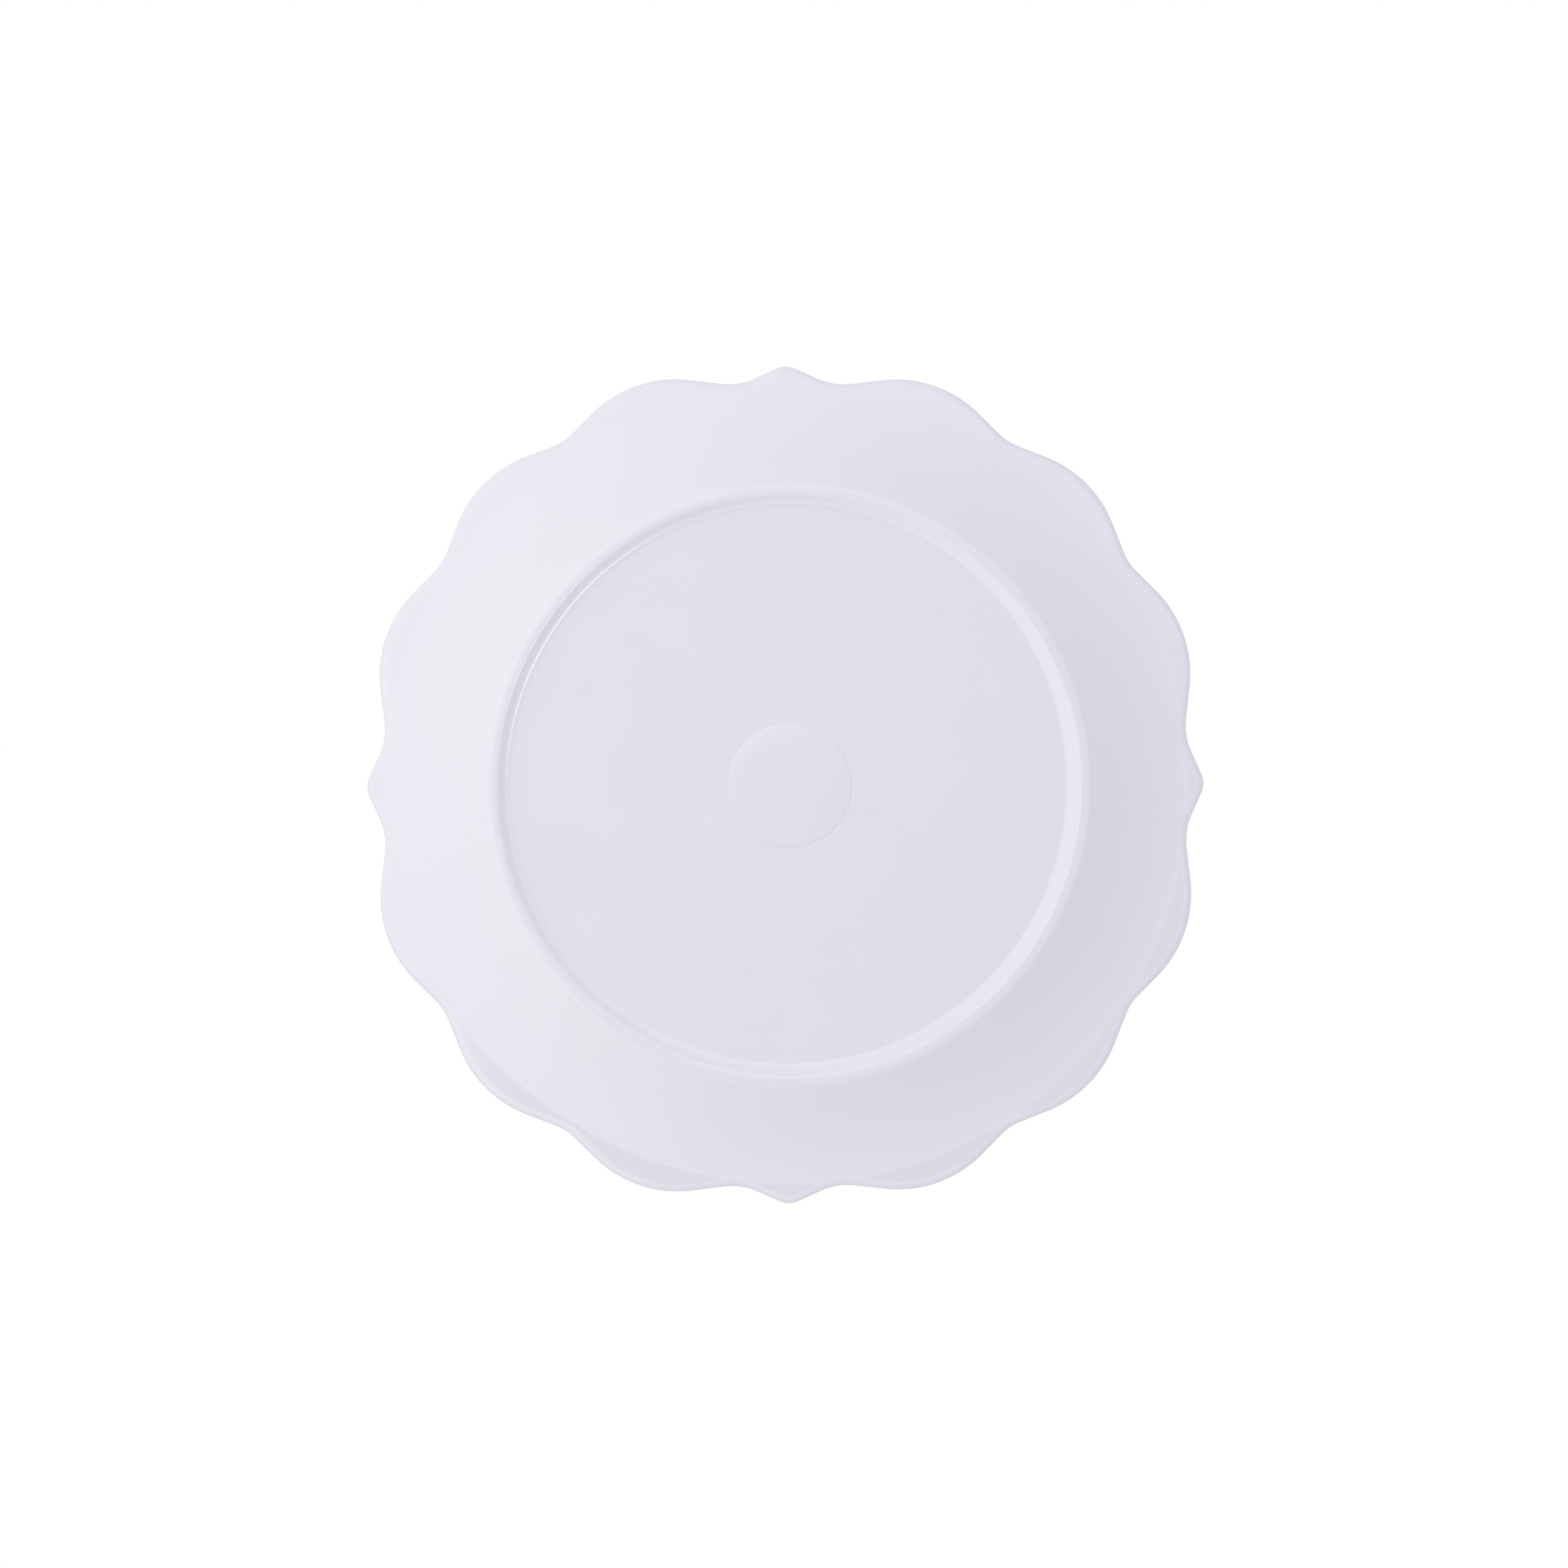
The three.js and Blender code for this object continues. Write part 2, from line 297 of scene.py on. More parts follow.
def body_profile():
    """The moulding: recess, foot ring, flare, rounded rim edge, border and the seat of the foil."""
    recess_end = (FOOT_FLAT_INNER - FOOT_WALL_RUN, RECESS_DEPTH)
    foot_in = (FOOT_FLAT_INNER, 0.0)
    foot_out = (FOOT_FLAT_OUTER, 0.0)
    flare_near_radius = FOOT_FLAT_OUTER + FLARE_FILLET_REACH
    flare_near = (flare_near_radius, flare_height(flare_near_radius))
    edge_top_radius = DRAWN_RIM - EDGE_ROUNDING
    edge_low_radius = DRAWN_RIM - LOWER_EDGE_ROUNDING
    edge_low = flare_height(edge_low_radius)
    edge_top = face_height(edge_top_radius)
    edge_middle = edge_low + (edge_top - edge_low) * LOWER_EDGE_SHARE
    rows = [(radius, RECESS_DEPTH) for radius in FLOOR_ROWS]
    floor_middle = (0.0, RECESS_DEPTH)
    rows += rounded_corner(floor_middle, recess_end, foot_in, RECESS_FILLET, RECESS_FILLET_STEPS)
    rows += rounded_corner(recess_end, foot_in, foot_out, FOOT_INNER_FILLET)
    flat_start = FOOT_FLAT_INNER + FLAT_INNER_INSET
    flat_end = FOOT_FLAT_OUTER - FLAT_OUTER_INSET
    rows += [(radius, 0.0) for radius in spread(flat_start, flat_end, FLAT_STEPS)]
    rows += rounded_corner(foot_in, foot_out, flare_near, FOOT_OUTER_FILLET)
    flare_radii = spread(FLARE_ROWS_START, FLARE_ROWS_END, FLARE_STEPS)
    flare_radii += spread(FLARE_ROWS_END + ROW_GAP, edge_low_radius - EDGE_ROW_GAP, LIP_STEPS)
    rows += [(radius, flare_height(radius)) for radius in flare_radii]
    lip_rise = LIP_SLOPE * LOWER_EDGE_ROUNDING
    for turn in spread(0, math.pi / 2, LOWER_EDGE_STEPS):
        out = math.sin(turn)
        rise = lip_rise * out + (edge_middle - edge_low - lip_rise) * (1 - math.cos(turn))
        rows.append((edge_low_radius + LOWER_EDGE_ROUNDING * out, edge_low + rise))
    for turn in spread(0, math.pi / 2, UPPER_EDGE_STEPS)[1:]:
        radius = edge_top_radius + EDGE_ROUNDING * math.cos(turn)
        rows.append((radius, edge_middle + (edge_top - edge_middle) * math.sin(turn)))
    border = spread(edge_top_radius - ROW_GAP, LAYER_EDGE, BORDER_STEPS)
    rows += [(radius, face_height(radius)) for radius in border]
    seat_depth = GLAZE_THICKNESS + FOIL_THICKNESS + 2 * BOND_GAP
    seat = [LAYER_EDGE] + face_radii()
    rows += [(radius, face_height(radius) - seat_depth) for radius in seat]
    return rows


def layer_profile(top_depth, thickness):
    """A layer of the eating face that lies top_depth under the finished face."""
    radii = [LAYER_EDGE - BOND_GAP] + face_radii()
    upper = [(radius, face_height(radius) - top_depth) for radius in radii]
    lower = [(radius, height - thickness) for radius, height in reversed(upper)]
    return lower + upper


def disc_profile():
    """The thin disc under the floor, with its lower edge rounded off."""
    corner = (DISC_RADIUS, DISC_BOTTOM)
    top_edge = (DISC_RADIUS, DISC_TOP)
    edge_fillet = DISC_EDGE_SHARE * (DISC_TOP - DISC_BOTTOM)
    rows = [(radius, DISC_BOTTOM) for radius in DISC_ROWS]
    rows += rounded_corner((0.0, DISC_BOTTOM), corner, top_edge, edge_fillet, DISC_EDGE_STEPS)
    return rows + [top_edge, (0.0, DISC_TOP)]


# Geometry nodes: a profile is turned round the axis and drawn out to the scalloped rim


def named_inputs(tree, sizes):
    """Float inputs of a node tree, one for each named size."""
    for name, value in sizes.items():
        socket = tree.interface.new_socket(name, in_out="INPUT", socket_type="NodeSocketFloat")
        socket.default_value = value


def flare_height_group():
    """Node group that gives the underside's height at a radius, with the lip eased in."""
    tree = bpy.data.node_groups.new("Flare height", "GeometryNodeTree")
    sizes = {
        "Radius": 0.0,
        "Foot Radius": FOOT_FLAT_OUTER * MM,
        "Lip Radius": LIP_START * MM,
        "Start Slope": FLARE_START_SLOPE,
        "End Slope": FLARE_END_SLOPE,
        "Lip Slope": LIP_SLOPE,
        "Lip Easing": LIP_EASING * MM,
    }
    named_inputs(tree, sizes)
    tree.interface.new_socket("Height", in_out="OUTPUT", socket_type="NodeSocketFloat")
    size = add_node(tree, "NodeGroupInput").outputs
    inside_lip = calc(tree, "SMOOTH_MIN", size["Radius"], size["Lip Radius"], size["Lip Easing"])
    run = calc(tree, "SUBTRACT", inside_lip, size["Foot Radius"])
    full_run = calc(tree, "SUBTRACT", size["Lip Radius"], size["Foot Radius"])
    slope_loss = calc(tree, "SUBTRACT", size["Start Slope"], size["End Slope"])
    easing = calc(tree, "DIVIDE", slope_loss, calc(tree, "MULTIPLY", full_run, 2.0))
    sag = calc(tree, "MULTIPLY", easing, calc(tree, "MULTIPLY", run, run))
    flare = calc(tree, "SUBTRACT", calc(tree, "MULTIPLY", size["Start Slope"], run), sag)
    lip_run = calc(tree, "SUBTRACT", size["Radius"], inside_lip)
    height = calc(tree, "MULTIPLY_ADD", lip_run, size["Lip Slope"], flare)
    add_node(tree, "NodeGroupOutput", {"Height": height})
    return tree


def pick(tree, index, values):
    """The value that belongs to an index."""
    node = add_node(tree, "GeometryNodeIndexSwitch", data_type="FLOAT")
    while len(node.index_switch_items) < len(values):
        node.index_switch_items.new()
    plug(tree, index, node.inputs["Index"])
    for place, value in enumerate(values):
        plug(tree, value, node.inputs[str(place)])
    return node.outputs[0]


def rim_ribbon(tree, size):
    """A low upright ribbon that follows the rim outline: straight flanks with rounded corners."""
    quarter = math.pi / 2
    corners_in_quarter = 8
    circle = add_node(tree, "GeometryNodeCurvePrimitiveCircle", {
        "Resolution": 4 * corners_in_quarter,
        "Radius": RIBBON_START_RADIUS,
    })
    index = add_node(tree, "GeometryNodeInputIndex").outputs[0]
    kind = calc(tree, "MODULO", index, corners_in_quarter)
    reaches = [size[name + " Reach"] for name in ("Tip", "Dip", "Flank Lobe", "Notch", "Diagonal Lobe")]
    reaches += reaches[3:0:-1]
    bearings = [size[name + " Bearing"] for name in ("Dip", "Flank Lobe", "Notch")]
    far_bearings = [calc(tree, "SUBTRACT", quarter, bearing) for bearing in reversed(bearings)]
    bearings = [0.0] + bearings + [quarter / 2] + far_bearings
    roundings = [size[name + " Rounding"] for name in ("Tip", "Dip", "Lobe", "Notch", "Lobe")]
    roundings += roundings[3:0:-1]
    quarters = calc(tree, "FLOOR", calc(tree, "DIVIDE", index, corners_in_quarter))
    turn = calc(tree, "MULTIPLY", quarters, quarter)
    angle = calc(tree, "ADD", pick(tree, kind, bearings), turn)
    reach = pick(tree, kind, reaches)
    corner = add_node(tree, "ShaderNodeCombineXYZ", {
        "X": calc(tree, "MULTIPLY", reach, calc(tree, "COSINE", angle)),
        "Y": calc(tree, "MULTIPLY", reach, calc(tree, "SINE", angle)),
    })
    corners = add_node(tree, "GeometryNodeSetPosition", {
        "Geometry": circle.outputs[0],
        "Position": corner.outputs[0],
    })
    fillet = add_node(tree, "GeometryNodeFilletCurve", mode="POLY")
    plug(tree, corners.outputs[0], fillet.inputs["Curve"])
    plug(tree, OUTLINE_ARC_STEPS, fillet.inputs["Count"])
    plug(tree, pick(tree, kind, roundings), fillet.inputs["Radius"])
    line = add_node(tree, "GeometryNodeCurveToMesh", {"Curve": fillet.outputs[0]})
    upward = add_node(tree, "ShaderNodeCombineXYZ", {"Z": 1.0})
    ribbon = add_node(tree, "GeometryNodeExtrudeMesh", {
        "Mesh": line.outputs[0],
        "Offset": upward.outputs[0],
        "Offset Scale": RIBBON_HEIGHT,
    }, mode="EDGES")
    return ribbon.outputs[0]


def scalloped_turning_tree():
    """Tree that turns a profile line round the axis and draws its rim out to the outline."""
    tree = bpy.data.node_groups.new("Turned and scalloped", "GeometryNodeTree")
    new_socket = tree.interface.new_socket
    new_socket("Profile", in_out="INPUT", socket_type="NodeSocketGeometry")
    new_socket("Surface", in_out="OUTPUT", socket_type="NodeSocketGeometry")
    new_socket("Finish", in_out="INPUT", socket_type="NodeSocketMaterial")
    new_socket("Steps Around", in_out="INPUT", socket_type="NodeSocketInt")
    sizes = dict(RIM_SIZES)
    sizes["Drawn Rim Radius"] = DRAWN_RIM * MM
    sizes["Draw Start Radius"] = DRAW_START * MM
    sizes["Draw Band"] = DRAW_BAND * MM
    named_inputs(tree, sizes)
    size = add_node(tree, "NodeGroupInput").outputs

    count = add_node(tree, "GeometryNodeAttributeDomainSize", component="MESH")
    plug(tree, size["Profile"], count.inputs["Geometry"])
    rows = count.outputs["Point Count"]
    sheet = add_node(tree, "GeometryNodeMeshGrid", {
        "Size X": 2 * math.pi,
        "Size Y": 1.0,
        "Vertices X": calc(tree, "ADD", size["Steps Around"], 1.0),
        "Vertices Y": rows,
    })
    place = add_node(tree, "GeometryNodeInputPosition").outputs[0]
    flat = add_node(tree, "ShaderNodeSeparateXYZ", {0: place}).outputs
    angle = flat["X"]
    last_row = calc(tree, "SUBTRACT", rows, 1.0)
    row = calc(tree, "ROUND", calc(tree, "MULTIPLY", calc(tree, "ADD", flat["Y"], 0.5), last_row))
    sample = add_node(tree, "GeometryNodeSampleIndex", data_type="FLOAT_VECTOR", domain="POINT")
    plug(tree, size["Profile"], sample.inputs["Geometry"])
    plug(tree, place, sample.inputs["Value"])
    plug(tree, row, sample.inputs["Index"])
    drawn = add_node(tree, "ShaderNodeSeparateXYZ", {0: sample.outputs[0]}).outputs

    outward = add_node(tree, "ShaderNodeCombineXYZ", {
        "X": calc(tree, "COSINE", angle),
        "Y": calc(tree, "SINE", angle),
    })
    on_axis = add_node(tree, "ShaderNodeCombineXYZ", {"Z": RIBBON_HEIGHT / 2})
    ray = add_node(tree, "GeometryNodeRaycast", {
        "Target Geometry": rim_ribbon(tree, size),
        "Source Position": on_axis.outputs[0],
        "Ray Direction": outward.outputs[0],
        "Ray Length": RAY_LENGTH,
    })
    rim_shift = calc(tree, "SUBTRACT", ray.outputs["Hit Distance"], size["Drawn Rim Radius"])
    full_draw = calc(tree, "SUBTRACT", size["Drawn Rim Radius"], size["Draw Band"])
    share = add_node(tree, "ShaderNodeMapRange", {
        "Value": drawn["X"],
        "From Min": size["Draw Start Radius"],
        "From Max": full_draw,
    })
    radius = calc(tree, "MULTIPLY_ADD", share.outputs[0], rim_shift, drawn["X"])
    heights = []
    flare = flare_height_group()
    for at in (radius, drawn["X"]):
        group = add_node(tree, "GeometryNodeGroup", node_tree=flare)
        plug(tree, at, group.inputs["Radius"])
        heights.append(group.outputs[0])
    lift = calc(tree, "SUBTRACT", heights[0], heights[1])
    point = add_node(tree, "ShaderNodeCombineXYZ", {
        "X": calc(tree, "MULTIPLY", radius, calc(tree, "COSINE", angle)),
        "Y": calc(tree, "MULTIPLY", radius, calc(tree, "SINE", angle)),
        "Z": calc(tree, "ADD", drawn["Z"], lift),
    })
    turned = add_node(tree, "GeometryNodeSetPosition", {
        "Geometry": sheet.outputs[0],
        "Position": point.outputs[0],
    })
    closed = add_node(tree, "GeometryNodeMergeByDistance", {
        "Geometry": turned.outputs[0],
        "Distance": MERGE_DISTANCE,
    })
    smooth = add_node(tree, "GeometryNodeSetShadeSmooth", {"Geometry": closed.outputs[0]})
    whole = add_node(tree, "GeometryNodeRealizeInstances", {"Geometry": smooth.outputs[0]})
    finished = add_node(tree, "GeometryNodeSetMaterial", {
        "Geometry": whole.outputs[0],
        "Material": size["Finish"],
    })
    add_node(tree, "NodeGroupOutput", {"Surface": finished.outputs[0]})
    return tree


def turned_piece(name, profile, tree, finish):
    """A plain mesh object that the tree turns from a profile."""
    line = bpy.data.meshes.new(name + "_profile")
    points = [(radius * MM, 0.0, height * MM) for radius, height in profile]
    links = [(index, index + 1) for index in range(len(points) - 1)]
    line.from_pydata(points, links, [])
    source = add_object(name + "_profile", line)
    turning = source.modifiers.new("Turning", "NODES")
    turning.node_group = tree
    values = {"Finish": finish, "Steps Around": STEPS_AROUND}
    for item in tree.interface.items_tree:
        if item.in_out == "INPUT" and item.name in values:
            turning[item.identifier] = values[item.name]
    evaluated = source.evaluated_get(bpy.context.evaluated_depsgraph_get())
    mesh = bpy.data.meshes.new_from_object(evaluated)
    mesh.name = name
    piece = add_object(name, mesh)
    bpy.data.objects.remove(source)
    bpy.data.meshes.remove(line)
    return piece


# Finishes


def shader_group(name, inputs, outputs):
    """A shader node group with named sockets, and the values that are given to it."""
    tree = bpy.data.node_groups.new(name, "ShaderNodeTree")
    for label, kind, value in inputs:
        socket = tree.interface.new_socket(label, in_out="INPUT", socket_type=kind)
        socket.default_value = value
    for label, kind in outputs:
        tree.interface.new_socket(label, in_out="OUTPUT", socket_type=kind)
    return tree, add_node(tree, "NodeGroupInput").outputs


def map_range(tree, value, low, high, to_low=0.0, to_high=1.0, kind="LINEAR"):
    """A value carried from one range to another, held at its ends."""
    node = add_node(tree, "ShaderNodeMapRange", interpolation_type=kind)
    for place, item in enumerate((value, low, high, to_low, to_high)):
        plug(tree, item, node.inputs[place])
    return node.outputs[0]


def mix_colour(tree, share, first, second, blend="MIX"):
    """Two colours mixed by a share."""
    node = add_node(tree, "ShaderNodeMix", data_type="RGBA", blend_type=blend)
    plug(tree, share, node.inputs[0])
    plug(tree, first, node.inputs[6])
    plug(tree, second, node.inputs[7])
    return node.outputs[2]


def noise(tree, place, scale, detail=2.0, roughness=0.5):
    """One noise value over the surface."""
    node = add_node(tree, "ShaderNodeTexNoise", {
        "Vector": place,
        "Scale": scale,
        "Detail": detail,
        "Roughness": roughness,
    })
    return node.outputs["Fac"]


def resin_tint_group():
    """Pressed resin's colour: faint clouds, a fine grain and a few dark specks."""
    inputs = [
        ("Place", "NodeSocketVector", (0.0, 0.0, 0.0)),
        ("Light Tint", "NodeSocketColor", WHITE),
        ("Deep Tint", "NodeSocketColor", WHITE),
        ("Speck Share", "NodeSocketFloat", 0.2),
        ("Speck Radius", "NodeSocketFloat", 0.3 * MM),
    ]
    tree, given = shader_group("Resin tint", inputs, [("Colour", "NodeSocketColor")])
    clouds_per_metre = 38.0
    grain_per_metre = 900.0
    cells_per_metre = 42.0
    cloud_range = (0.35, 0.65)
    grain_share = 0.25
    speck_strength = 0.4
    speck_core_share = 0.5
    clouds = noise(tree, given["Place"], clouds_per_metre, detail=3.0)
    grain = noise(tree, given["Place"], grain_per_metre)
    broad = calc(tree, "MULTIPLY", clouds, 1.0 - grain_share)
    cloudy = calc(tree, "MULTIPLY_ADD", grain, grain_share, broad)
    share = map_range(tree, cloudy, *cloud_range)
    tinted = mix_colour(tree, share, given["Deep Tint"], given["Light Tint"])
    specks = add_node(tree, "ShaderNodeTexVoronoi", {
        "Vector": given["Place"],
        "Scale": cells_per_metre,
    }, voronoi_dimensions="2D")
    distance = calc(tree, "DIVIDE", specks.outputs["Distance"], cells_per_metre)
    inner = calc(tree, "MULTIPLY", given["Speck Radius"], speck_core_share)
    dot = map_range(tree, distance, inner, given["Speck Radius"], 1.0, 0.0)
    lot = add_node(tree, "ShaderNodeSeparateColor", {0: specks.outputs["Color"]}).outputs[0]
    chosen = calc(tree, "LESS_THAN", lot, given["Speck Share"])
    strength = calc(tree, "MULTIPLY", calc(tree, "MULTIPLY", dot, chosen), speck_strength)
    colour = mix_colour(tree, strength, tinted, SPECK_COLOUR)
    add_node(tree, "NodeGroupOutput", {"Colour": colour})
    return tree


def handling_wear_group():
    """Gloss that varies with handling: faint smears all over, and rubbed scuffs where wear is high."""
    inputs = [
        ("Place", "NodeSocketVector", (0.0, 0.0, 0.0)),
        ("Gloss Roughness", "NodeSocketFloat", 0.2),
        ("Rubbed Roughness", "NodeSocketFloat", 0.45),
        ("Wear", "NodeSocketFloat", 0.0),
    ]
    tree, given = shader_group("Handling wear", inputs, [("Roughness", "NodeSocketFloat")])
    smears_per_metre = 30.0
    scuffs_per_metre = 420.0
    smear_range = (0.3, 0.7)
    smear_change = (-0.015, 0.025)
    scuff_range = (0.42, 0.62)
    least_rub = 0.8
    smear_noise = noise(tree, given["Place"], smears_per_metre, detail=4.0)
    smears = map_range(tree, smear_noise, *smear_range, *smear_change)
    scuff_noise = noise(tree, given["Place"], scuffs_per_metre, detail=3.0)
    scuffs = map_range(tree, scuff_noise, *scuff_range)
    rub = map_range(tree, scuffs, 0.0, 1.0, least_rub, 1.0)
    rubbed = calc(tree, "MULTIPLY", given["Wear"], rub)
    glossy = calc(tree, "ADD", given["Gloss Roughness"], smears)
    roughness = map_range(tree, rubbed, 0.0, 1.0, glossy, given["Rubbed Roughness"])
    add_node(tree, "NodeGroupOutput", {"Roughness": roughness})
    return tree


def moulded_skin_group():
    """Height of a moulded skin: a broad ripple and a fine orange peel."""
    inputs = [
        ("Place", "NodeSocketVector", (0.0, 0.0, 0.0)),
        ("Ripple", "NodeSocketFloat", 0.5),
        ("Peel", "NodeSocketFloat", 0.2),
    ]
    tree, given = shader_group("Moulded skin", inputs, [("Height", "NodeSocketFloat")])
    ripples_per_metre = 45.0
    peel_per_metre = 620.0
    ripple_noise = noise(tree, given["Place"], ripples_per_metre, detail=1.0)
    peel_noise = noise(tree, given["Place"], peel_per_metre, detail=1.0)
    ripple = calc(tree, "MULTIPLY", ripple_noise, given["Ripple"])
    peel = calc(tree, "MULTIPLY", peel_noise, given["Peel"])
    add_node(tree, "NodeGroupOutput", {"Height": calc(tree, "ADD", ripple, peel)})
    return tree


def new_finish(name):
    """A material with its node tree, its principled shader and the surface's own coordinates."""
    finish = bpy.data.materials.new(name)
    finish.use_nodes = True
    tree = finish.node_tree
    shader = tree.nodes["Principled BSDF"]
    place = add_node(tree, "ShaderNodeTexCoord").outputs["Object"]
    return finish, tree, shader, place


def use_group(tree, group, inputs):
    """A shader node group placed in a material with its own values."""
    return add_node(tree, "ShaderNodeGroup", inputs, node_tree=group)


def skin_bump(tree, group, place, ripple, peel, depth):
    """A bump normal from the moulded skin group."""
    skin = use_group(tree, group, {"Place": place, "Ripple": ripple, "Peel": peel})
    bump = add_node(tree, "ShaderNodeBump", {"Distance": depth, "Height": skin.outputs[0]})
    bump.inputs["Strength"].default_value = 1.0
    return bump.outputs[0]


def lavender_melamine(tint, wear, skin):
    """The glossy moulding, rubbed a little duller where the foot ring stands on the table."""
    finish, tree, shader, place = new_finish("lavender_melamine")
    colour = use_group(tree, tint, {
        "Place": place,
        "Light Tint": LAVENDER_TINTS[0],
        "Deep Tint": LAVENDER_TINTS[1],
        "Speck Share": 0.2,
        "Speck Radius": 0.25 * MM,
    })
    height = add_node(tree, "ShaderNodeSeparateXYZ", {0: place}).outputs["Z"]
    worn_heights = (0.05 * MM, 0.5 * MM)
    foot_wear = map_range(tree, height, *worn_heights, 1.0, 0.0)
    gloss = use_group(tree, wear, {
        "Place": place,
        "Gloss Roughness": 0.11,
        "Rubbed Roughness": 0.17,
        "Wear": foot_wear,
    })
    plug(tree, colour.outputs[0], shader.inputs["Base Color"])
    plug(tree, gloss.outputs[0], shader.inputs["Roughness"])
    bump = skin_bump(tree, skin, place, ripple=0.6, peel=0.12, depth=0.04 * MM)
    plug(tree, bump, shader.inputs["Normal"])
    shader.inputs["IOR"].default_value = MELAMINE_IOR
    return finish


def plain_foil(tint, wear, skin):
    """The resin-soaked paper of the eating face, close to the moulding's colour."""
    finish, tree, shader, place = new_finish("plain_foil")
    colour = use_group(tree, tint, {
        "Place": place,
        "Light Tint": FOIL_TINTS[0],
        "Deep Tint": FOIL_TINTS[1],
        "Speck Share": 0.08,
        "Speck Radius": 0.22 * MM,
    })
    gloss = use_group(tree, wear, {"Place": place, "Gloss Roughness": 0.18, "Wear": 0.0})
    plug(tree, colour.outputs[0], shader.inputs["Base Color"])
    plug(tree, gloss.outputs[0], shader.inputs["Roughness"])
    bump = skin_bump(tree, skin, place, ripple=0.2, peel=0.2, depth=0.02 * MM)
    plug(tree, bump, shader.inputs["Normal"])
    shader.inputs["IOR"].default_value = FOIL_IOR
    return finish


def clear_glaze(wear, skin):
    """The clear glossy skin over the foil, lightly scuffed by cutlery."""
    finish, tree, shader, place = new_finish("clear_glaze")
    gloss = use_group(tree, wear, {
        "Place": place,
        "Gloss Roughness": 0.12,
        "Rubbed Roughness": 0.3,
        "Wear": 0.15,
    })
    plug(tree, gloss.outputs[0], shader.inputs["Roughness"])
    bump = skin_bump(tree, skin, place, ripple=0.6, peel=0.1, depth=0.03 * MM)
    plug(tree, bump, shader.inputs["Normal"])
    shader.inputs["Base Color"].default_value = GLAZE_COLOUR
    shader.inputs["Alpha"].default_value = GLAZE_ALPHA
    shader.inputs["IOR"].default_value = GLAZE_IOR
    return finish


def disc_foil(tint, wear, skin):
    """The blank disc under the floor, pressed smooth with the moulding."""
    finish, tree, shader, place = new_finish("disc_foil")
    colour = use_group(tree, tint, {
        "Place": place,
        "Light Tint": DISC_TINTS[0],
        "Deep Tint": DISC_TINTS[1],
        "Speck Share": 0.0,
        "Speck Radius": 0.2 * MM,
    })
    gloss = use_group(tree, wear, {"Place": place, "Gloss Roughness": 0.11, "Wear": 0.0})
    plug(tree, colour.outputs[0], shader.inputs["Base Color"])
    plug(tree, gloss.outputs[0], shader.inputs["Roughness"])
    bump = skin_bump(tree, skin, place, ripple=0.6, peel=0.12, depth=0.04 * MM)
    plug(tree, bump, shader.inputs["Normal"])
    shader.inputs["IOR"].default_value = MELAMINE_IOR
    return finish


def make_plate():
    """The four pieces of the plate, each in place of its solid."""
    tree = scalloped_turning_tree()
    tint = resin_tint_group()
    wear = handling_wear_group()
    skin = moulded_skin_group()
    foil_top = GLAZE_THICKNESS + BOND_GAP
    foil_layer = layer_profile(foil_top, FOIL_THICKNESS)
    glaze_layer = layer_profile(0.0, GLAZE_THICKNESS)
    melamine = lavender_melamine(tint, wear, skin)
    foil = plain_foil(tint, wear, skin)
    glaze = clear_glaze(wear, skin)
    blank = disc_foil(tint, wear, skin)
    pieces = [
        ("moulded_plate", body_profile(), melamine, "plate_body", "body_lavender"),
        ("face_foil", foil_layer, foil, "decor_foil", "face_foil"),
        ("glaze_skin", glaze_layer, glaze, "face_glaze", "clear_glaze"),
        ("blank_disc", disc_profile(), blank, "backstamp_disc", "disc_foil"),
    ]
    for name, profile, finish, node, slot in pieces:
        piece = turned_piece(name, profile, tree, finish)
        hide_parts(node)
        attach(piece, "root")


# Stage, light and camera


def pale_floor():
    """A wide pale floor that shows from above only and lets the light from below through."""
    mesh = bpy.data.meshes.new("floor")
    signs = ((-1, -1), (1, -1), (1, 1), (-1, 1))
    corners = [(x * FLOOR_HALF_SIZE, y * FLOOR_HALF_SIZE, FLOOR_LEVEL) for x, y in signs]
    mesh.from_pydata(corners, [], [(0, 1, 2, 3)])
    floor = add_object("floor", mesh)
    finish, tree, shader, place = new_finish("pale_floor")
    shader.inputs["Roughness"].default_value = FLOOR_ROUGHNESS
    clouds_per_metre = 3.0
    cloud_range = (0.3, 0.7)
    tone = map_range(tree, noise(tree, place, clouds_per_metre), *cloud_range, *FLOOR_TONES)
    grey = add_node(tree, "ShaderNodeCombineColor", {0: tone, 1: tone, 2: tone})
    plug(tree, grey.outputs[0], shader.inputs["Base Color"])
    clear = add_node(tree, "ShaderNodeBsdfTransparent")
    side = add_node(tree, "ShaderNodeNewGeometry").outputs["Backfacing"]
    one_sided = add_node(tree, "ShaderNodeMixShader", {0: side, 1: shader.outputs[0], 2: clear.outputs[0]})
    plug(tree, one_sided.outputs[0], tree.nodes["Material Output"].inputs["Surface"])
    mesh.materials.append(finish)
    floor.visible_diffuse = False
    floor.visible_glossy = False
    floor.visible_transmission = False
    floor.visible_shadow = False


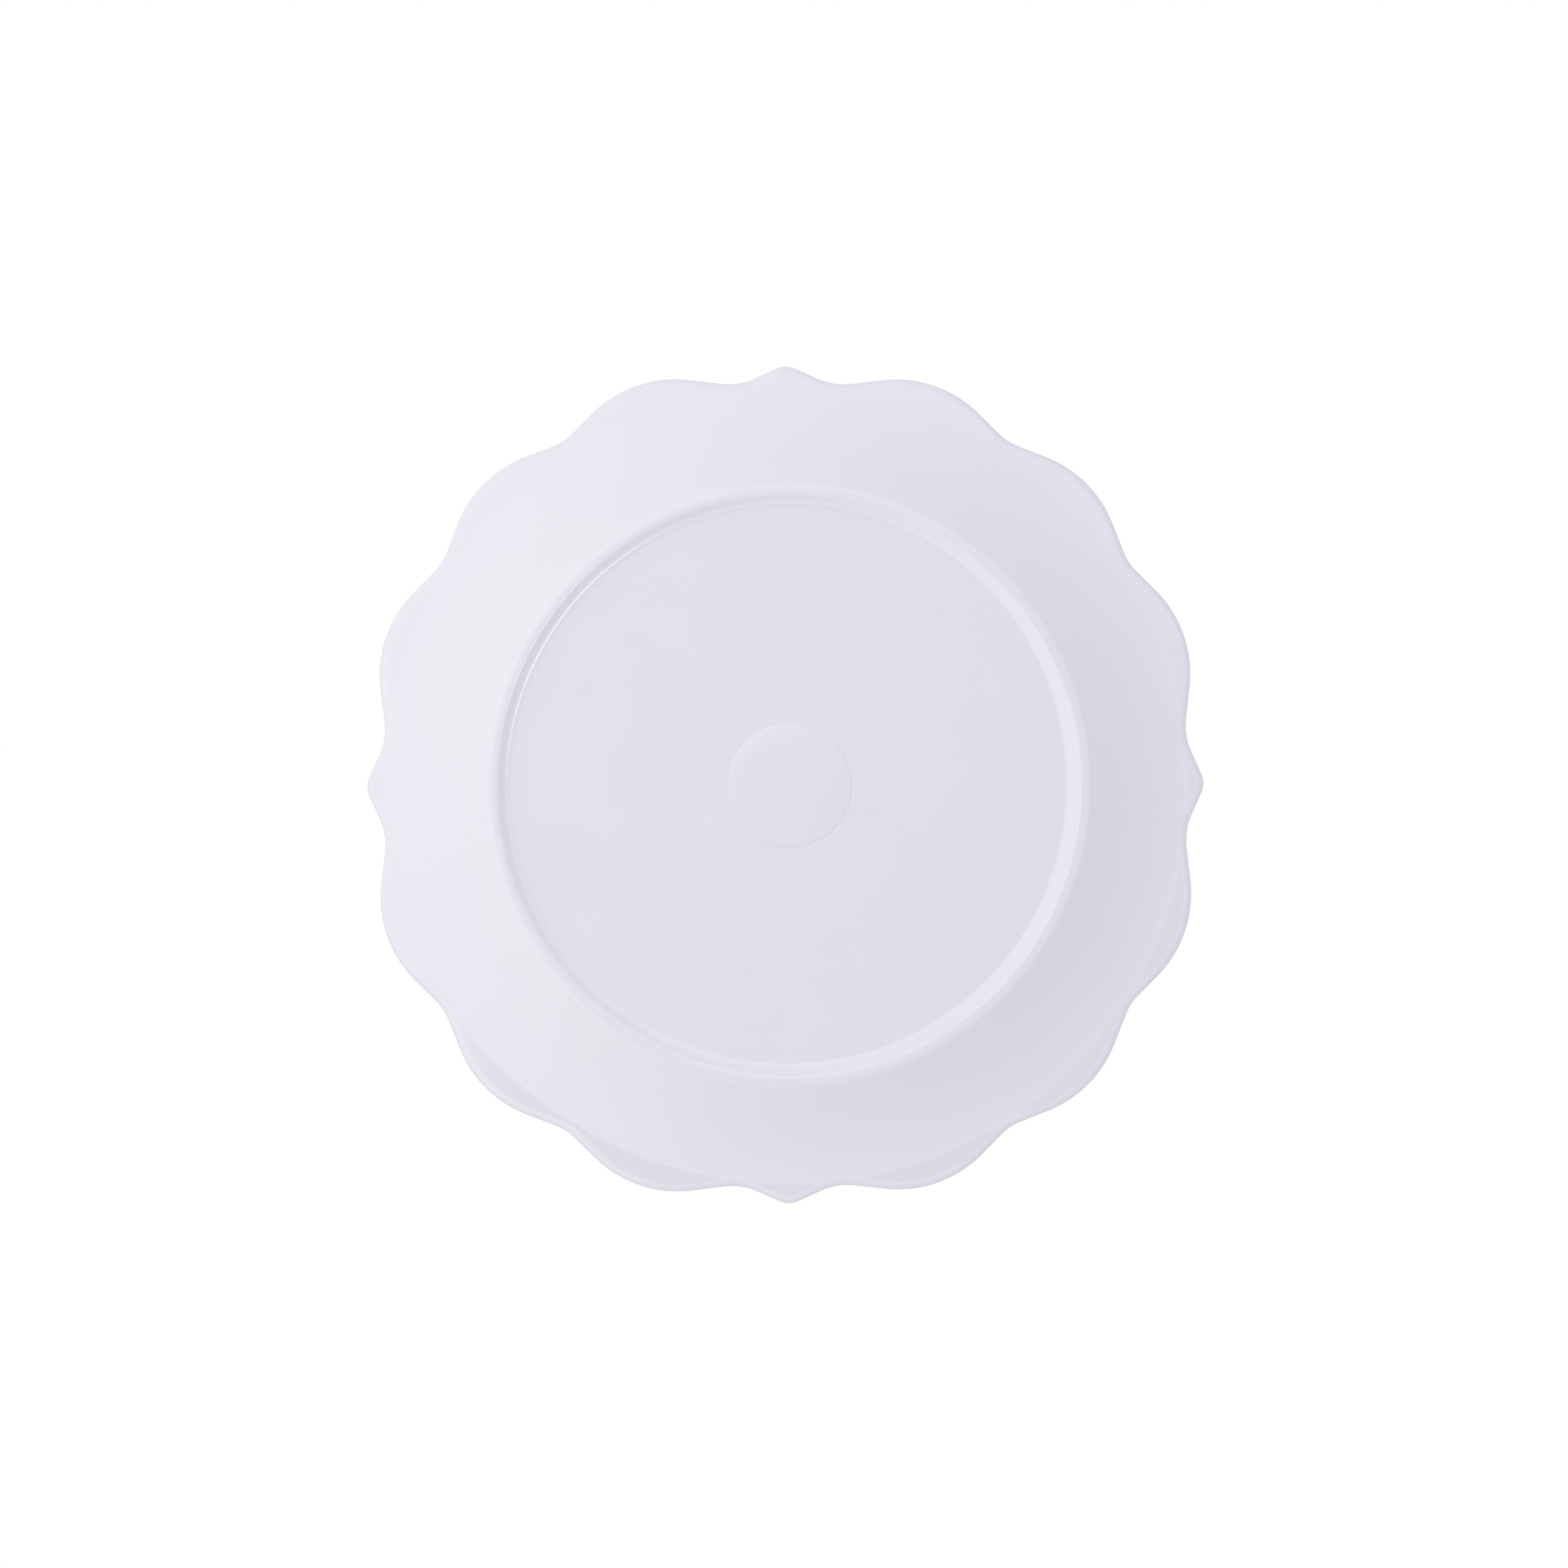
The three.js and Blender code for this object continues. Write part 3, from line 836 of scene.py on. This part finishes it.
def mirrored_level(tree, axes):
    """Brightness of the surroundings in reflections: pale, brightest at the left, with the dark oval."""
    least_drop = 0.05
    drop = calc(tree, "MAXIMUM", calc(tree, "MULTIPLY", axes["Z"], -1.0), least_drop)
    slope = add_node(tree, "ShaderNodeCombineXYZ", {
        "X": calc(tree, "DIVIDE", axes["X"], drop),
        "Y": calc(tree, "DIVIDE", axes["Y"], drop),
    })
    local = add_node(tree, "ShaderNodeMapping", {
        "Vector": slope.outputs[0],
        "Location": OVAL_PLACE,
        "Rotation": OVAL_TURN,
        "Scale": OVAL_HALF_SIZES,
    }, vector_type="TEXTURE")
    reach = add_node(tree, "ShaderNodeVectorMath", {0: local.outputs[0]}, operation="LENGTH")
    low_glow = map_range(tree, axes["Z"], *MIRRORED_LOW_BAND, MIRRORED_BELOW, MIRRORED_LOW)
    leftward = calc(tree, "MULTIPLY_ADD", axes["X"], MIRRORED_RIGHTWARD, low_glow)
    across = calc(tree, "MULTIPLY", axes["X"], axes["Y"])
    below = calc(tree, "MULTIPLY_ADD", across, MIRRORED_ACROSS, leftward)
    bright = map_range(tree, axes["Z"], *MIRRORED_HORIZON_BAND, below, MIRRORED_ABOVE)
    return map_range(tree, reach.outputs["Value"], *OVAL_EDGE, OVAL_LEVEL, bright, "SMOOTHSTEP")


def studio_world():
    """Even soft light, white to the camera, and pale with the dark oval in reflections."""
    world = bpy.data.worlds.new("studio")
    world.use_nodes = True
    tree = world.node_tree
    tree.nodes.clear()
    direction = add_node(tree, "ShaderNodeTexCoord").outputs["Generated"]
    axes = add_node(tree, "ShaderNodeSeparateXYZ", {0: direction}).outputs
    from_below = map_range(tree, axes["Z"], -1.0, 0.0, FILL_BELOW, FILL_AT_HORIZON)
    from_above = map_range(tree, axes["Z"], *FILL_HORIZON_BAND, 1.0, FILL_ABOVE_SHARE)
    level = calc(tree, "MULTIPLY", from_below, from_above)
    path = add_node(tree, "ShaderNodeLightPath").outputs
    seen_level = map_range(tree, path["Is Glossy Ray"], 0.0, 1.0, 1.0, mirrored_level(tree, axes))
    seen = calc(tree, "MAXIMUM", path["Is Camera Ray"], path["Is Glossy Ray"])
    seen = calc(tree, "MAXIMUM", seen, path["Is Transmission Ray"])
    light = add_node(tree, "ShaderNodeBackground", {"Color": FILL_COLOUR, "Strength": level})
    warmth = map_range(tree, axes["Y"], *WARM_BAND)
    mirrored = mix_colour(tree, warmth, COOL_MIRRORED, WARM_MIRRORED)
    seen_colour = mix_colour(tree, path["Is Glossy Ray"], WHITE, mirrored)
    backdrop = add_node(tree, "ShaderNodeBackground", {"Color": seen_colour, "Strength": seen_level})
    both = add_node(tree, "ShaderNodeMixShader", {0: seen, 1: light.outputs[0], 2: backdrop.outputs[0]})
    add_node(tree, "ShaderNodeOutputWorld", {"Surface": both.outputs[0]})
    bpy.context.scene.world = world


def soft_lamp(name, place, size, power, colour):
    """A large soft area lamp, pointed at the plate, whose light doesn't bounce on."""
    light = bpy.data.lights.new(name, "AREA")
    light.cycles.max_bounces = 0
    light.shape = "SQUARE"
    light.size = size
    light.energy = power
    light.color = colour
    lamp = add_object(name, light)
    lamp.location = place
    lamp.visible_glossy = False
    lamp.rotation_euler = (-Vector(place)).to_track_quat("-Z", "Y").to_euler()


def glint_strip():
    """A narrow strip lamp, aimed across the recess, that shows only as a thin glint in its fillet."""
    light = bpy.data.lights.new("glint_strip", "AREA")
    light.shape = "RECTANGLE"
    light.size = GLINT_WIDTH
    light.size_y = GLINT_LENGTH
    light.energy = GLINT_POWER
    light.spread = GLINT_SPREAD
    lamp = add_object("glint_strip", light)
    beam = (GLINT_TARGET - GLINT_PLACE).normalized()
    along = Vector((0.0, 0.0, 1.0)).cross(beam).normalized()
    turn = Matrix((along.cross(-beam), along, -beam)).transposed()
    lamp.matrix_world = Matrix.Translation(GLINT_PLACE) @ turn.to_4x4()
    lamp.visible_diffuse = False
    lamp.visible_camera = False


def soft_sun():
    """An even soft light from above for the eating face and the floor."""
    light = bpy.data.lights.new("soft_sun", "SUN")
    light.energy = SUN_STRENGTH
    light.angle = SUN_ANGLE
    lamp = add_object("soft_sun", light)
    lamp.rotation_euler = SUN_DIRECTION.to_track_quat("-Z", "Y").to_euler()
    lamp.visible_glossy = False


def photo_camera():
    """The photographed view: up at the underside, a touch from the left, cropped off the lens axis."""
    data = bpy.data.cameras.new("photo_camera")
    data.lens = LENS
    data.sensor_width = SENSOR
    data.clip_start, data.clip_end = CLIP_RANGE
    data.shift_y = -PHOTO_CROP_PX / IMAGE_PIXELS
    camera = add_object("photo_camera", data)
    focal_px = LENS / SENSOR * IMAGE_PIXELS
    metres_per_px = DRAWN_RIM * MM / PHOTO_TIP_RADIUS_PX
    distance = focal_px * metres_per_px
    forward = Vector((math.sin(PHOTO_TILT), 0.0, math.cos(PHOTO_TILT)))
    image_up = Vector((math.sin(PHOTO_ROLL), -math.cos(PHOTO_ROLL), 0.0))
    right = forward.cross(image_up).normalized()
    image_up = right.cross(forward)
    half = IMAGE_PIXELS / 2
    aside = (half - PHOTO_CENTRE_PX[0]) * metres_per_px
    above = (PHOTO_CENTRE_PX[1] - half + PHOTO_CROP_PX) * metres_per_px
    centre = Vector((0.0, 0.0, RIM_MIDDLE_HEIGHT)) + right * aside + image_up * above
    turn = Matrix((right, image_up, -forward)).transposed()
    camera.matrix_world = Matrix.Translation(centre - forward * distance) @ turn.to_4x4()
    bpy.context.scene.camera = camera


make_plate()
pale_floor()
studio_world()
soft_lamp("side_lamp", **SIDE_LAMP)
soft_lamp("low_lamp", **LOW_LAMP)
glint_strip()
soft_sun()
photo_camera()
bpy.context.scene.view_settings.view_transform = "Standard"
